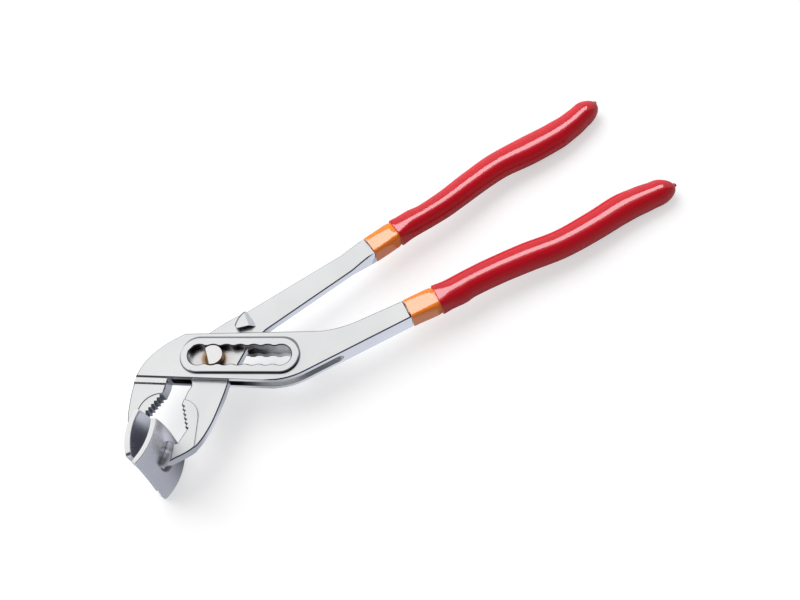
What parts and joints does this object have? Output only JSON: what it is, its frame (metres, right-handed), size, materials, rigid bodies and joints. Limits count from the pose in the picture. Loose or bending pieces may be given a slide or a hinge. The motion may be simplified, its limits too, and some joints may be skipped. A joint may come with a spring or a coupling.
{
  "type": "tyre setter pliers",
  "caption": "Long adjustable box-joint pliers with a wide curved steel plate welded to each jaw and dipped red grips, for gripping and pulling a tyre bead.",
  "frame": {"origin": "on the joint pin's axis, at the pin's back end", "axes": "+X from the joint towards the handle ends, +Y from the slotted arm's handle towards the inner arm's handle, +Z along the pin towards the front face"},
  "size_m": [0.3006, 0.0815, 0.051],
  "materials": {
    "arm_steel": "satin chrome plate, matte from blasting before plating",
    "pin_steel": "plated, ground flat on its ends",
    "plate_steel": "plated after welding, satin",
    "weld_steel": "plated weld metal, lumpy",
    "grip_orange": "glossy dipped soft vinyl",
    "grip_red": "glossy dipped soft vinyl"
  },
  "bodies": {
    "slotted_arm": {"slotted_arm": "arm_steel", "slotted_arm_grip_undercoat": "grip_orange", "slotted_arm_grip": "grip_red", "fixed_jaw_plate": "plate_steel", "fixed_jaw_weld_front": "weld_steel", "fixed_jaw_weld_back": "weld_steel"},
    "pin": {"joint_pin": "pin_steel"},
    "inner_arm": {"inner_arm": "arm_steel", "inner_arm_grip_undercoat": "grip_orange", "inner_arm_grip": "grip_red", "moving_jaw_plate": "plate_steel", "moving_jaw_weld_front": "weld_steel", "moving_jaw_weld_back": "weld_steel"}
  },
  "joints": [
    {"name": "pin_slide", "type": "slide", "parent": "slotted_arm", "child": "pin", "axis": [0.866, -0.5, 0], "range_m": [0, 0.03425]},
    {"name": "arm_hinge", "type": "hinge", "parent": "pin", "child": "inner_arm", "pos_m": [0, 0, 0.007], "axis": [0, 0, 1], "range_deg": [0, 70]}
  ]
}
